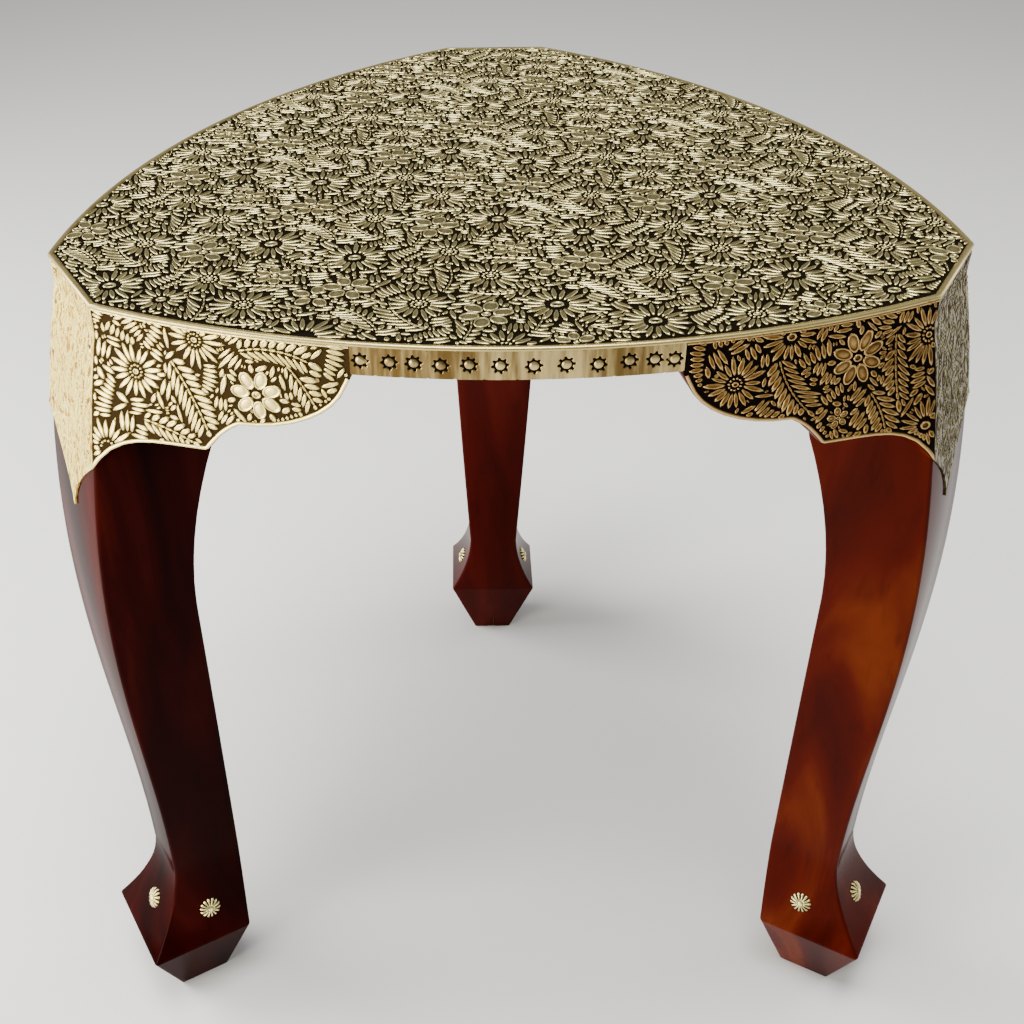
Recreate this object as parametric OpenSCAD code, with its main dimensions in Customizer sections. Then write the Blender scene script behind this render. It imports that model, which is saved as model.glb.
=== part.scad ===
// Three-legged stool: wooden top, cabriole legs and ears, clad in thin brass sheet.
// The origin is on the floor, under the middle of the whole stool's box. +Z is up
// and the front side, between the left and right legs, faces -Y.

/* [Overall] */
// Height of the stool, to the face of the brass top
total_h = 457; // [380:1:560]
// Distance from the centre line of the legs' circle to each clipped corner of the top
corner_r = 216.5; // [180:0.5:262]
// Width of each clipped corner
corner_w = 58; // [48:1:66]
// How far each side of the top bows outwards past its chord
side_bow = 41; // [30:1:50]

/* [Top] */
// Thickness of the wooden top board
board_t = 12.5; // [9:0.5:18]
// Thickness of the brass sheet
sheet_t = 0.8; // [0.5:0.1:1.2]

/* [Leg] */
// Height of the foot's widest edge
foot_h = 48; // [36:1:58]
// Width of the foot at its widest edge
foot_w = 63; // [52:1:76]
// How far the foot's outer edge stands outside the clipped corner
foot_out = 33.5; // [26:0.5:40]
// How far the foot's inner edge stands inside the clipped corner
foot_in = 25; // [20:0.5:30]
// Width of the foot's flat base
base_w = 28; // [22:1:34]
// How far the base's outer edge stands outside the clipped corner
base_out = 17.5; // [14:0.5:21]
// How far the base's inner edge stands inside the clipped corner
base_in = 12.5; // [10:0.5:15]
// Height of the ankle, the leg's slimmest place
ankle_h = 98; // [80:1:118]
// Width of the ankle
ankle_w = 34.5; // [29:0.5:41]
// How far the ankle's outer face stands outside the clipped corner
ankle_out = 9.5; // [6:0.5:12]
// How far the ankle's inner face stands inside the clipped corner
ankle_in = 29.5; // [25:0.5:35]
// Height at which the knee stands out furthest
knee_h = 290; // [240:1:348]
// How far the knee stands outside the clipped corner
knee_out = 19.5; // [15:0.5:24]
// How far the shin's inner face stands inside the clipped corner
shin_in = 24.5; // [21:0.5:28]
// Height at which the inner face starts to swell towards the haunch
swell_h = 290; // [250:1:300]
// How far the haunch's inner face stands inside the clipped corner
haunch_in = 43.5; // [36:0.5:50]
// Width of the leg at the haunch, where the brass ends
haunch_w = 65; // [56:1:72]

/* [Ear] */
// Length of each ear along the side, from the corner
ear_len = 114; // [96:1:136]
// Thickness of each ear
ear_t = 24; // [20:1:28]
// Depth below the top's face at which the ear ends at the corner
corner_drop = 74; // [66:1:84]
// Depth below the top's face of the arch beside the leg
arch_drop = 56.5; // [50:0.5:64]
// Distance of the cusp from the corner
cusp_s = 51; // [42:1:58]
// Length of the cove between the cusp and the lobe
cove_len = 14.5; // [12:0.5:17]
// Depth below the top's face at which the cove meets the lobe
lobe_drop = 42.5; // [36:0.5:46]
// Depth below the top's face of the pointed tongue's tip on the corner
tongue_drop = 110; // [95:1:128]

/* [Fasteners] */
// Diameter of a flower-headed foot stud
stud_d = 12.6; // [10:0.2:15]
// Height of a foot stud's dome
stud_rise = 3.4; // [2.6:0.2:4.2]
// Height of the foot studs above the floor
stud_h = 67; // [60:1:74]
// Diameter of the studs' shanks
shank_d = 2.4; // [1.8:0.1:3]
// Diameter of the dowels between leg and ear
dowel_d = 6; // [5:0.5:7]
// Diameter of the wood screws
screw_d = 4.5; // [3.5:0.5:5]
// Diameter of the brass pins that hold the sheets
pin_d = 1; // [0.8:0.1:1.2]
// Gap around a screw where it passes the top board
screw_gap = 0.4; // [0.2:0.1:0.6]

/* [Hidden] */
$fn = 48;

// Directions of the legs and of the sides between them, seen from above
back_dir = 90;
left_dir = 210;
right_dir = 330;
leg_dirs = [back_dir, left_dir, right_dir];
right_side = 30;
left_side = 150;
front_side = 270;
side_dirs = [right_side, left_side, front_side];

// Heights that the top sets
sheet_z = total_h - sheet_t;
under_z = sheet_z - board_t;
haunch_margin = 2;
haunch_z = total_h - corner_drop - haunch_margin;
tongue_z = total_h - tongue_drop;

// The bowed side is an arc through the ends of two clipped corners
half_corner = corner_w / 2;
chord_half = corner_r * sin(60) - half_corner * cos(60);
chord_dist = corner_r * cos(60) + half_corner * sin(60);
side_r = (chord_half * chord_half + side_bow * side_bow) / (2 * side_bow);
side_mid = chord_dist + side_bow;
side_half_angle = asin(chord_half / side_r);
arc_start = 60 - side_half_angle;
function arc_angle(s) = arc_start + s / side_r * 180 / PI;

// The whole stool is moved so that its box is centred over the origin
box_back = corner_r + foot_out;
box_front = side_mid + sheet_t;
shift_y = (box_front - box_back) / 2;

// The ear's lower edge: lobe, cove, cusp and arch
lobe_tip_gap = 1.2;
lobe_s = cusp_s + cove_len;
cove_bow = 1.8;
arch_power = 5;
arch_spread = 1.3;
lobe_end_deg = 77;
arch_steps = 8;
cove_steps = 4;
lobe_steps = 8;
sheet_lip = 1.5;

// Steps along the leg and down the sheets
foot_steps = 7;
shin_steps = 14;
knee_steps = 7;
haunch_steps = 5;
flare_power = 1.7;
calf_power = 1.3;
ear_rows = 4;
strip_rows = 7;
tongue_rows = 7;
tip_half_w = 0.8;
tongue_power = 1.6;

// Fastener sizes
stud_shank_len = 14;
stud_sink = 0.3;
stud_seat_gap = 0.3;
stud_side_in = 5;
dowel_half_len = 14;
dowel_in = 14;
dowel_drops = [15, 33];
leg_screw_len = 48;
leg_screw_in = 23;
leg_screw_side = 13;
ear_screw_len = 32;
ear_screw_s = 70;
screw_tip = 4;
screw_lip = 0.4;
slot_w = 1;
slot_depth = 1.2;
pin_len = 8;
pin_head_d = 1.8;
pin_head_t = 0.4;
ear_pin_places = [[0.09, 0.85], [0.26, 0.8], [0.42, 0.8], [0.63, 0.75], [0.84, 0.7],
                  [0.18, 0.15], [0.53, 0.2], [0.88, 0.2]];
strip_pin_share = [0.12, 0.5, 0.88];
pin_edge = 5;
band_pin_in = 6;

function mix(a, b, u) = a + (b - a) * u;
function ease(u) = (1 - cos(180 * u)) / 2;
function share(a, b, z) = (z - a) / (b - a);
function steps(a, b, n) = [for (i = [1 : n]) mix(a, b, i / n)];

// How far the leg's outer face stands outside the clipped corner, at height z
function leg_out(z) =
    z <= foot_h ? mix(base_out, foot_out, z / foot_h) :
    z <= ankle_h ? mix(ankle_out, foot_out, pow(1 - share(foot_h, ankle_h, z), flare_power)) :
    z <= knee_h ? mix(ankle_out, knee_out, ease(share(ankle_h, knee_h, z))) :
    z <= under_z ? knee_out * (1 - pow(share(knee_h, under_z, z), 2)) : 0;

// How far the leg's inner face stands inside the clipped corner, at height z
function leg_in(z) =
    z <= foot_h ? mix(base_in, foot_in, z / foot_h) :
    z <= ankle_h ? mix(ankle_in, foot_in, pow(1 - share(foot_h, ankle_h, z), flare_power)) :
    z <= swell_h ? mix(ankle_in, shin_in, share(ankle_h, swell_h, z)) :
    z <= haunch_z ? mix(shin_in, haunch_in, pow(share(swell_h, haunch_z, z), 2)) : haunch_in;

// Half the leg's width at height z; from the haunch up it changes evenly, so the side is flat
function leg_half(z) =
    z <= foot_h ? mix(base_w, foot_w, z / foot_h) / 2 :
    z <= ankle_h ? mix(ankle_w, foot_w, pow(1 - share(foot_h, ankle_h, z), flare_power)) / 2 :
    z <= haunch_z ? mix(haunch_w, ankle_w, pow(1 - share(ankle_h, haunch_z, z), calf_power)) / 2 :
    z <= under_z ? mix(haunch_w, corner_w, share(haunch_z, under_z, z)) / 2 : half_corner;

leg_levels = concat([0, foot_h], steps(foot_h, ankle_h, foot_steps), steps(ankle_h, knee_h, shin_steps),
                    steps(knee_h, haunch_z, knee_steps), steps(haunch_z, under_z, haunch_steps));

// One leg's frame has the leg's outward direction along +X. Its ear lies on the +Y side.
arc_centre = (side_mid - side_r) * [cos(60), sin(60)];
function arc_normal(s) = [cos(arc_angle(s)), sin(arc_angle(s))];
function arc_point(s) = arc_centre + side_r * arc_normal(s);

// The ear's front leaves the leg's own corner, which swells below the top, and meets the arc
function swell(s, z) = pow(1 - s / ear_len, 2) * [leg_out(z), leg_half(z) - half_corner];
function front_point(s, z, lift) = concat(arc_point(s) + swell(s, z) + lift * arc_normal(s), [z]);

// From the front to the back: along the leg's side at the joint, square to the arc further on
butt_depth = ear_t / cos(arc_start);
function inward(s) = mix([-butt_depth, 0], -ear_t * arc_normal(s), ease(min(1, s / cusp_s)));
function back_point(s, z) = concat(arc_point(s) + swell(s, z) + inward(s), [z]);

// Depth below the top's face of the ear's lower edge, at distance s from the corner
function arch_depth(s) = mix(arch_drop, corner_drop, pow(max(0, 1 - s / cusp_s), arch_power));

// The edge is sawn square to the front, so the back takes its depth from the place it lies behind
function arc_along(s) = [-sin(arc_angle(s)), cos(arc_angle(s))];
function behind(s) = s + inward(s) * arc_along(s);
function back_depth(e) = e[0] < cusp_s ? arch_depth(behind(e[0])) : e[1];
function cove_depth(u) = mix(arch_drop, lobe_drop, u) - cove_bow * sin(180 * u);
lobe_len = ear_len - lobe_tip_gap - lobe_s;
lobe_rise = lobe_drop - (total_h - under_z);
function lobe_depth(a) = total_h - under_z + lobe_rise * cos(a);
function lobe_place(a) = lobe_s + lobe_len * sin(a);

// Places along the ear's lower edge: [distance from the corner, depth below the top's face]
ear_edge = concat(
    [for (i = [0 : arch_steps]) let (s = cusp_s * pow(i / arch_steps, arch_spread)) [s, arch_depth(s)]],
    [for (u = steps(0, 1, cove_steps)) [mix(cusp_s, lobe_s, u), cove_depth(u)]],
    [for (a = steps(0, lobe_end_deg, lobe_steps)) [lobe_place(a), lobe_depth(a)]]);
sheet_edge = concat(ear_edge, [[ear_len, total_h - under_z + sheet_lip]]);

// A closed slab between two grids of points; each grid is a list of equally long rows
function grid_faces(n, m, base, flip) = [for (i = [0 : n - 2], j = [0 : m - 2], h = [0, 1])
    let (a = base + i * m + j, b = a + 1, c = a + m, d = c + 1,
         tri = h == 0 ? [a, c, b] : [b, c, d])
    flip ? [tri[2], tri[1], tri[0]] : tri];
function rim_faces(n, m) =
    let (rim = concat([for (j = [0 : m - 1]) j], [for (i = [1 : n - 1]) i * m + m - 1],
                      [for (j = [m - 2 : -1 : 0]) (n - 1) * m + j], [for (i = [n - 2 : -1 : 1]) i * m]),
         c = len(rim), k = n * m)
    [for (i = [0 : c - 1], h = [0, 1]) let (a = rim[i], b = rim[(i + 1) % c])
        h == 0 ? [a, b, a + k] : [b, b + k, a + k]];
module slab(front, back) {
    n = len(front);
    m = len(front[0]);
    polyhedron(
        points = concat([for (row = front) each row], [for (row = back) each row]),
        faces = concat(grid_faces(n, m, 0, false), grid_faces(n, m, n * m, true), rim_faces(n, m)));
}

module at_leg(dir, flip = false) {
    translate([0, shift_y, 0]) rotate(dir) {
        if (flip) mirror([0, 1, 0]) children();
        else children();
    }
}

// The top's plan, grown outwards by a sheet's thickness where it is clad
module plan(z, h, grow) {
    reach = corner_r + grow;
    translate([0, shift_y, z]) intersection() {
        bowed_disc(side_dirs[0], h, grow);
        bowed_disc(side_dirs[1], h, grow);
        bowed_disc(side_dirs[2], h, grow);
        linear_extrude(h) polygon(clip_outline(reach));
    }
}
module bowed_disc(dir, h, grow) {
    rotate(dir) translate([side_mid - side_r, 0, 0]) cylinder(r = side_r + grow, h = h, $fn = 180);
}
function clip_outline(reach) =
    [for (d = leg_dirs) 2 * reach * [cos(d + 60), sin(d + 60)]];

module screw_shape(len, d) {
    head_r = d;
    rotate_extrude() polygon([[0, 0], [head_r, 0], [head_r, -screw_lip], [d / 2, -screw_lip - d / 2],
                              [d / 2, -len + screw_tip], [0, -len]]);
}
module screw(len, d) {
    difference() {
        screw_shape(len, d);
        for (a = [0, 90]) rotate(a) cube([d * 1.2, slot_w, 2 * slot_depth], center = true);
    }
}
module screw_hole(len, d) {
    translate([0, 0, -len]) cylinder(d = d + 2 * screw_gap, h = 2 * len);
    rotate_extrude() polygon([[0, 1], [d + screw_gap, 1], [d + screw_gap, -screw_lip - screw_gap],
                              [d / 2, -screw_lip - screw_gap - d / 2], [0, -screw_lip - screw_gap - d / 2]]);
}

module at_leg_screws() {
    for (side = [-1, 1])
        translate([corner_r - leg_screw_in, side * leg_screw_side, sheet_z]) children();
}
module at_ear_screw() {
    place = mix(front_point(ear_screw_s, under_z, 0), back_point(ear_screw_s, under_z), 0.5);
    translate([place[0], place[1], sheet_z]) children();
}

// Dowels run along the ear's own direction, through its joint with the leg
module ear_dowel_set() {
    for (drop = dowel_drops)
        translate([corner_r - dowel_in, leg_half(under_z - drop), under_z - drop])
            rotate([90, 0, arc_start]) cylinder(d = dowel_d, h = 2 * dowel_half_len, center = true);
}

// Brass pins: the head is on the sheet and the shank goes through it into the wood. An ear's pins
// are given as shares of its length and of its depth.
module pin() {
    translate([0, 0, -pin_len]) cylinder(d = pin_d, h = pin_len + pin_head_t / 2, $fn = 16);
    cylinder(d = pin_head_d, h = pin_head_t, $fn = 16);
}
module ear_pin_set() {
    for (p = ear_pin_places) {
        s = p[0] * ear_len;
        low = total_h - lookup(s, ear_edge);
        place = front_point(s, mix(under_z, low, p[1]), sheet_t);
        translate(place) rotate([0, 90, arc_angle(s)]) rotate(90) pin();
    }
}
module corner_pin_set() {
    for (u = strip_pin_share, side = [-1, 1]) {
        z = mix(under_z, haunch_z, u);
        translate([corner_r + leg_out(z) + sheet_t, side * (leg_half(z) - pin_edge), z])
            rotate([0, 90, 0]) pin();
    }
}
module band_pin_set() {
    half = side_half_angle - (ear_len + band_pin_in) / side_r * 180 / PI;
    for (side = [-1, 1])
        translate([side_mid - side_r, 0, under_z + board_t / 2])
            rotate(side * half) translate([side_r + sheet_t, 0, 0]) rotate([0, 90, 0]) pin();
}

// Foot studs: one on the outer face and one on each side, set square to the foot's slope
function slope(a, b) = atan((b - a) / 2);
module at_foot_studs() {
    tilt_out = slope(leg_out(stud_h + 1), leg_out(stud_h - 1));
    tilt_side = slope(leg_half(stud_h + 1), leg_half(stud_h - 1));
    translate([corner_r + leg_out(stud_h), 0, stud_h]) rotate([0, 90 - tilt_out, 0])
        translate([0, 0, -stud_sink]) children();
    for (side = [-1, 1])
        translate([corner_r - stud_side_in, side * leg_half(stud_h), stud_h])
            rotate([side * (tilt_side - 90), 0, 0]) translate([0, 0, -stud_sink]) children();
}
module stud() {
    dome_r = (stud_d * stud_d / 4 + stud_rise * stud_rise) / (2 * stud_rise);
    intersection() {
        translate([0, 0, stud_rise - dome_r]) sphere(r = dome_r);
        cylinder(d = stud_d, h = stud_rise);
    }
    translate([0, 0, -stud_shank_len]) cylinder(d1 = shank_d / 2, d2 = shank_d, h = stud_shank_len);
}
module stud_seat() {
    translate([0, 0, -stud_shank_len]) cylinder(d1 = shank_d / 2, d2 = shank_d, h = stud_shank_len);
    cylinder(d = stud_d + 2 * stud_seat_gap, h = 3 * stud_rise);
}

module top_board() {
    color("saddlebrown") difference() {
        plan(under_z, board_t, 0);
        for (dir = leg_dirs) {
            at_leg(dir) at_leg_screws() screw_hole(leg_screw_len, screw_d);
            for (flip = [false, true]) at_leg(dir, flip) at_ear_screw() screw_hole(ear_screw_len, screw_d);
        }
        band_pins_all();
    }
}

module top_sheet() {
    color("darkkhaki") plan(sheet_z, sheet_t, sheet_t);
}

module edge_band(dir) {
    half = side_half_angle - ear_len / side_r * 180 / PI;
    color("goldenrod") difference() {
        at_leg(dir) translate([side_mid - side_r, 0, 0]) rotate(-half)
            rotate_extrude(angle = 2 * half, $fn = 180)
                translate([side_r, under_z]) square([sheet_t, board_t]);
        at_leg(dir) band_pin_set();
    }
}

function leg_corners(z) = [
    [corner_r + leg_out(z), -leg_half(z), z], [corner_r + leg_out(z), leg_half(z), z],
    [corner_r - leg_in(z), leg_half(z), z], [corner_r - leg_in(z), -leg_half(z), z]];
module leg_block() {
    n = len(leg_levels);
    polyhedron(
        points = [for (z = leg_levels) each leg_corners(z)],
        faces = concat(
            [[3, 2, 1, 0]], [[for (i = [0 : 3]) (n - 1) * 4 + i]],
            [for (k = [0 : n - 2], i = [0 : 3], h = [0, 1])
                let (a = 4 * k + i, b = 4 * k + (i + 1) % 4)
                h == 0 ? [a, b, a + 4] : [b, b + 4, a + 4]]));
}
module leg(dir) {
    color("#4a160c") at_leg(dir) difference() {
        leg_block();
        at_leg_screws() screw_shape(leg_screw_len, screw_d);
        ear_dowel_set();
        mirror([0, 1, 0]) ear_dowel_set();
        at_foot_studs() stud_seat();
        corner_pin_set();
    }
}

module ear(dir, flip) {
    depths = [for (i = [0 : ear_rows]) i / ear_rows];
    color("#5a1e10") at_leg(dir, flip) difference() {
        slab(
            [for (e = ear_edge) [for (u = depths) front_point(e[0], mix(under_z, total_h - e[1], u), 0)]],
            [for (e = ear_edge) let (low = total_h - back_depth(e))
                [for (u = depths) back_point(e[0], mix(under_z, low, u))]]);
        ear_dowel_set();
        at_ear_screw() screw_shape(ear_screw_len, screw_d);
        ear_pin_set();
    }
}

module ear_sheet(dir, flip) {
    rows = concat([-1], [for (i = [0 : ear_rows]) i / ear_rows]);
    color("khaki") at_leg(dir, flip) difference() {
        slab(
            [for (e = sheet_edge) [for (u = rows) sheet_point(e, u, sheet_t)]],
            [for (e = sheet_edge) [for (u = rows) sheet_point(e, u, 0)]]);
        ear_pin_set();
    }
}
function sheet_point(e, u, lift) =
    u < 0 ? front_point(e[0], sheet_z, lift) : front_point(e[0], mix(under_z, total_h - e[1], u), lift);

// The strip covers the clipped corner and the top of the leg, and ends in a pointed tongue
corner_z = total_h - corner_drop;
strip_levels = concat([sheet_z, under_z], steps(under_z, corner_z, strip_rows),
                      steps(corner_z, tongue_z, tongue_rows));
function strip_half(z) =
    z >= corner_z ? leg_half(z)
        : mix(tip_half_w, leg_half(corner_z), pow(share(tongue_z, corner_z, z), tongue_power));
function strip_point(z, side, lift) = [corner_r + leg_out(z) + lift, side * strip_half(z), z];
module corner_strip(dir) {
    color("palegoldenrod") at_leg(dir) difference() {
        slab(
            [for (z = strip_levels) [for (side = [-1, 1]) strip_point(z, side, sheet_t)]],
            [for (z = strip_levels) [for (side = [-1, 1]) strip_point(z, side, 0)]]);
        corner_pin_set();
    }
}

module leg_screws() {
    color("silver") for (dir = leg_dirs) at_leg(dir) at_leg_screws() screw(leg_screw_len, screw_d);
}
module ear_screws() {
    color("silver") for (dir = leg_dirs, flip = [false, true])
        at_leg(dir, flip) at_ear_screw() screw(ear_screw_len, screw_d);
}
module ear_dowels() {
    color("burlywood") for (dir = leg_dirs, flip = [false, true]) at_leg(dir, flip) ear_dowel_set();
}
module foot_studs() {
    color("gold") for (dir = leg_dirs) at_leg(dir) at_foot_studs() stud();
}
module corner_pins() {
    color("gold") for (dir = leg_dirs) at_leg(dir) corner_pin_set();
}
module ear_pins() {
    color("gold") for (dir = leg_dirs, flip = [false, true]) at_leg(dir, flip) ear_pin_set();
}
module band_pins_all() {
    for (dir = side_dirs) at_leg(dir) band_pin_set();
}
module band_pins() {
    color("gold") band_pins_all();
}

top_board();
top_sheet();
edge_band(front_side);  // edge_band_front
edge_band(left_side);  // edge_band_left
edge_band(right_side);  // edge_band_right
leg(back_dir);  // leg_back
leg(left_dir);  // leg_left
leg(right_dir);  // leg_right
ear(back_dir, false);  // ear_back_left
ear(back_dir, true);  // ear_back_right
ear(left_dir, false);  // ear_left_front
ear(left_dir, true);  // ear_left_back
ear(right_dir, false);  // ear_right_back
ear(right_dir, true);  // ear_right_front
ear_sheet(back_dir, false);  // ear_sheet_back_left
ear_sheet(back_dir, true);  // ear_sheet_back_right
ear_sheet(left_dir, false);  // ear_sheet_left_front
ear_sheet(left_dir, true);  // ear_sheet_left_back
ear_sheet(right_dir, false);  // ear_sheet_right_back
ear_sheet(right_dir, true);  // ear_sheet_right_front
corner_strip(back_dir);  // corner_strip_back
corner_strip(left_dir);  // corner_strip_left
corner_strip(right_dir);  // corner_strip_right
leg_screws();
ear_screws();
ear_dowels();
foot_studs();
corner_pins();
ear_pins();
band_pins();
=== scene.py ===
"""A low three-legged stool: carved dark wood, clad on its top, edges and corners in pressed brass."""

import math
import random

import bmesh
import bpy
import numpy as np
from mathutils import Matrix, Vector
from mathutils.bvhtree import BVHTree


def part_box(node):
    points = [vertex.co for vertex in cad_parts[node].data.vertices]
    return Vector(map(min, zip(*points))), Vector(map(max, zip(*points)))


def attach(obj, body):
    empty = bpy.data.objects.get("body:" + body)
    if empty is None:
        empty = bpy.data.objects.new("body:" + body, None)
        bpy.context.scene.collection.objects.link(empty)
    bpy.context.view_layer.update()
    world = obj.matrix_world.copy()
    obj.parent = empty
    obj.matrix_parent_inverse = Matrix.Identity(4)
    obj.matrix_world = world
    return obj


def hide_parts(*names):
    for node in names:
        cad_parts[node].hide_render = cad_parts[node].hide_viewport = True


MM = 0.001

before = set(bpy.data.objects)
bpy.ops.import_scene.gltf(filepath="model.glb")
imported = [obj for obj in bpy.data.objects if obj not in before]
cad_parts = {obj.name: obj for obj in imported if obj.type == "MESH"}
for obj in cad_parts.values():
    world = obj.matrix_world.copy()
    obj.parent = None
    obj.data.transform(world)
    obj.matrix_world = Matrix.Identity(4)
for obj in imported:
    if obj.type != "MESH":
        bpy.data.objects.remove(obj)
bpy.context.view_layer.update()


# Camera: the eye stands in front of the stool, a little left of its middle and above its top,
# and looks down on it through a normal lens.
eye_offset = Vector((-20.7, -629.3, 701.3)) * MM
eye_turn = math.radians(0.23)
eye_dip = math.radians(-35.2)
eye_roll = math.radians(0.69)
sensor_width = 36.0
lens_length = 47.05
lens_shift = 0.0495
corner_reach = 216.5
sheet_thickness = 0.8
top_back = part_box("top_sheet")[1].y
legs_centre_y = top_back - (corner_reach + sheet_thickness) * MM

camera_data = bpy.data.cameras.new("camera")
camera_data.sensor_width = sensor_width
camera_data.lens = lens_length
camera_data.shift_x = lens_shift
camera = bpy.data.objects.new("camera", camera_data)
camera_turn = (
    Matrix.Rotation(eye_turn, 4, "Z")
    @ Matrix.Rotation(eye_dip, 4, "X")
    @ Matrix.Rotation(eye_roll, 4, "Y")
    @ Matrix.Rotation(math.radians(90), 4, "X")
)
camera.matrix_world = Matrix.Translation(eye_offset + Vector((0, legs_centre_y, 0))) @ camera_turn
bpy.context.scene.collection.objects.link(camera)
bpy.context.scene.camera = camera


# Studio: a pale floor, a pale room, and soft lights: one large sheet overhead, two on the left
# and a tall one on the right, which puts the long pale gloss on the outer face of that leg.
floor_half = 6.0
floor_mesh = bpy.data.meshes.new("floor")
floor_mesh.from_pydata(
    [(-floor_half, -floor_half, 0), (floor_half, -floor_half, 0),
     (floor_half, floor_half, 0), (-floor_half, floor_half, 0)], [], [(0, 1, 2, 3)])
floor = bpy.data.objects.new("floor", floor_mesh)
bpy.context.scene.collection.objects.link(floor)
floor_paint = bpy.data.materials.new("floor_paint")
floor_paint.use_nodes = True
floor_shader = floor_paint.node_tree.nodes["Principled BSDF"]
floor_shader.inputs["Base Color"].default_value = (0.92, 0.92, 0.91, 1)
floor_shader.inputs["Roughness"].default_value = 0.75
floor_mesh.materials.append(floor_paint)

room = bpy.data.worlds.new("room")
room.use_nodes = True
room.node_tree.nodes["Background"].inputs["Color"].default_value = (1.0, 0.99, 0.96, 1)
room.node_tree.nodes["Background"].inputs["Strength"].default_value = 0.34
bpy.context.scene.world = room


def soft_light(name, place, aim, width, height, watts, tint):
    """One rectangular soft light at a place, turned towards an aim point, all in metres."""
    data = bpy.data.lights.new(name, "AREA")
    data.shape = "RECTANGLE"
    data.size = width
    data.size_y = height
    data.energy = watts
    data.color = tint
    light = bpy.data.objects.new(name, data)
    direction = Vector(aim) - Vector(place)
    light.matrix_world = (
        Matrix.Translation(place) @ direction.to_track_quat("-Z", "Y").to_matrix().to_4x4())
    bpy.context.scene.collection.objects.link(light)


soft_light("overhead", (-0.1, -0.35, 2.2), (0, 0, 0.2), 1.0, 0.9, 52, (1.0, 0.99, 0.97))
soft_light("left_window", (-1.35, 0.25, 0.75), (0, 0, 0.38), 0.9, 1.2, 34, (1.0, 0.99, 0.96))
soft_light("left_front", (-1.25, -1.0, 0.35), (0, 0, 0.4), 0.7, 0.7, 30, (1.0, 0.95, 0.82))
soft_light("right_sheet", (1.5, 0.5, 0.6), (0, 0, 0.3), 0.6, 1.4, 9, (1.0, 1.0, 1.0))


# Top board: the wooden core of the top, seen only from below. It is stained to match the legs,
# and its grain runs from left to right.
def wood_material(name, dark, light, figure, gloss, grain_scale, rough=0.4):
    """Stained wood with streaks along the grain, darker pores and a lacquer coat."""
    material = bpy.data.materials.new(name)
    material.use_nodes = True
    nodes = material.node_tree.nodes
    links = material.node_tree.links
    shader = nodes["Principled BSDF"]
    place = nodes.new("ShaderNodeTexCoord")
    stretch = nodes.new("ShaderNodeMapping")
    stretch.inputs["Scale"].default_value = grain_scale
    links.new(place.outputs["Object"], stretch.inputs["Vector"])
    streaks = nodes.new("ShaderNodeTexNoise")
    streaks.inputs["Scale"].default_value = 1.0
    streaks.inputs["Detail"].default_value = 5.0
    streaks.inputs["Distortion"].default_value = 0.9
    links.new(stretch.outputs["Vector"], streaks.inputs["Vector"])
    tone = nodes.new("ShaderNodeValToRGB")
    tone.color_ramp.elements[0].position = 0.32
    tone.color_ramp.elements[0].color = (*dark, 1)
    tone.color_ramp.elements[1].position = 0.56
    tone.color_ramp.elements[1].color = (*light, 1)
    crest = tone.color_ramp.elements.new(0.72)
    crest.color = (*figure, 1)
    links.new(streaks.outputs["Fac"], tone.inputs["Fac"])
    pores = nodes.new("ShaderNodeTexNoise")
    pores.inputs["Scale"].default_value = 9.0
    pores.inputs["Detail"].default_value = 3.0
    links.new(stretch.outputs["Vector"], pores.inputs["Vector"])
    pore_edge = nodes.new("ShaderNodeMapRange")
    pore_edge.inputs["From Min"].default_value = 0.58
    pore_edge.inputs["From Max"].default_value = 0.8
    pore_edge.inputs["To Max"].default_value = 0.4
    links.new(pores.outputs["Fac"], pore_edge.inputs["Value"])
    stain = nodes.new("ShaderNodeMix")
    stain.data_type = "RGBA"
    stain.blend_type = "MULTIPLY"
    stain.inputs["B"].default_value = (0.25, 0.18, 0.16, 1)
    links.new(pore_edge.outputs["Result"], stain.inputs["Factor"])
    links.new(tone.outputs["Color"], stain.inputs["A"])
    links.new(stain.outputs["Result"], shader.inputs["Base Color"])
    rub = nodes.new("ShaderNodeMapRange")
    rub.inputs["To Min"].default_value = rough - 0.08
    rub.inputs["To Max"].default_value = rough + 0.12
    links.new(streaks.outputs["Fac"], rub.inputs["Value"])
    links.new(rub.outputs["Result"], shader.inputs["Roughness"])
    dents = nodes.new("ShaderNodeBump")
    dents.inputs["Strength"].default_value = 0.12
    dents.inputs["Distance"].default_value = 0.0004
    links.new(pores.outputs["Fac"], dents.inputs["Height"])
    links.new(dents.outputs["Normal"], shader.inputs["Normal"])
    shader.inputs["Specular IOR Level"].default_value = 0.0
    shader.inputs["Coat Weight"].default_value = gloss
    shader.inputs["Coat IOR"].default_value = 1.15
    shader.inputs["Coat Roughness"].default_value = 0.14
    return material


def dress(node, material):
    """Gives a CAD node its own finish."""
    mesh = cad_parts[node].data
    mesh.materials.clear()
    mesh.materials.append(material)


board_wood = wood_material(
    "board_wood", (0.012, 0.004, 0.003), (0.045, 0.012, 0.007), (0.08, 0.02, 0.01), 0.15,
    (18, 190, 190), 0.5)
dress("top_board", board_wood)


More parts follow.
